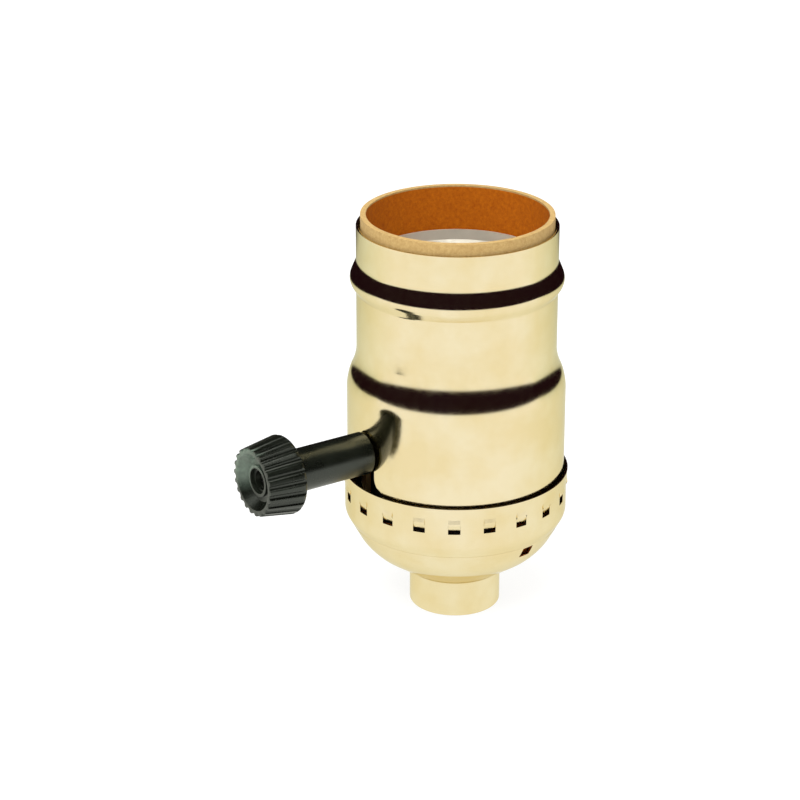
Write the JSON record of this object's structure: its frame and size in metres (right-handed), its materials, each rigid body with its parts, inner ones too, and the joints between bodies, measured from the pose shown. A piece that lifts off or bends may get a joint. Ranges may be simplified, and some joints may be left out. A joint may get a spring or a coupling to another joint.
{
  "type": "turn knob lamp socket",
  "caption": "Brass shelled screw lamp socket with a side turn knob switch, a fibre sleeve and a threaded hub cap.",
  "frame": {"origin": "centre of the threaded hub's end face, on the socket's axis", "axes": "+Z along the socket's axis from the hub to the lamp, -X along the switch shaft towards the knob"},
  "size_m": [0.0581, 0.0372, 0.0684],
  "materials": {
    "bright_brass": "bright plated drawn brass",
    "turned_brass": "plain turned brass",
    "fibre": "brown vulcanised fibre board",
    "phenolic": "black phenolic moulding, dull",
    "knob_black": "black moulded plastic, satin",
    "shell_aluminium": "bare rolled aluminium",
    "contact_brass": "plain brass strip",
    "screw_steel": "nickel plated steel",
    "spring_steel": "blued spring steel"
  },
  "bodies": {
    "base": {"cap": "bright_brass", "cap_bushing": "turned_brass", "cap_liner": "fibre", "housing_base": "phenolic", "switch_housing": "phenolic", "housing_rivets": "screw_steel", "screw_shell": "shell_aluminium", "shell_screws": "screw_steel", "contact_rivet": "contact_brass", "fixed_contact": "contact_brass", "line_terminal": "contact_brass", "line_screw": "turned_brass", "neutral_strap": "contact_brass", "neutral_screw": "screw_steel", "detent_spring": "spring_steel"},
    "shell": {"outer_shell": "bright_brass", "insulating_sleeve": "fibre"},
    "knob": {"knob": "knob_black", "switch_shaft": "screw_steel", "switch_rotor": "phenolic", "moving_contacts": "contact_brass"},
    "centre_contact": {"centre_contact": "contact_brass"}
  },
  "joints": [
    {"name": "knob_turn", "type": "hinge", "parent": "base", "child": "knob", "pos_m": [0, 0, 0.03105], "axis": [-1, 0, 0], "continuous": true, "deforming": ["detent_spring"]},
    {"name": "shell_lift", "type": "slide", "parent": "base", "child": "shell", "axis": [0, 0, 1], "range_m": [0, 0.045]},
    {"name": "centre_contact_press", "type": "hinge", "parent": "base", "child": "centre_contact", "pos_m": [0.0036, 0, 0.04067], "axis": [0, -1, 0], "range_deg": [0, 6], "stiffness_Nm_per_rad": 0.05}
  ]
}
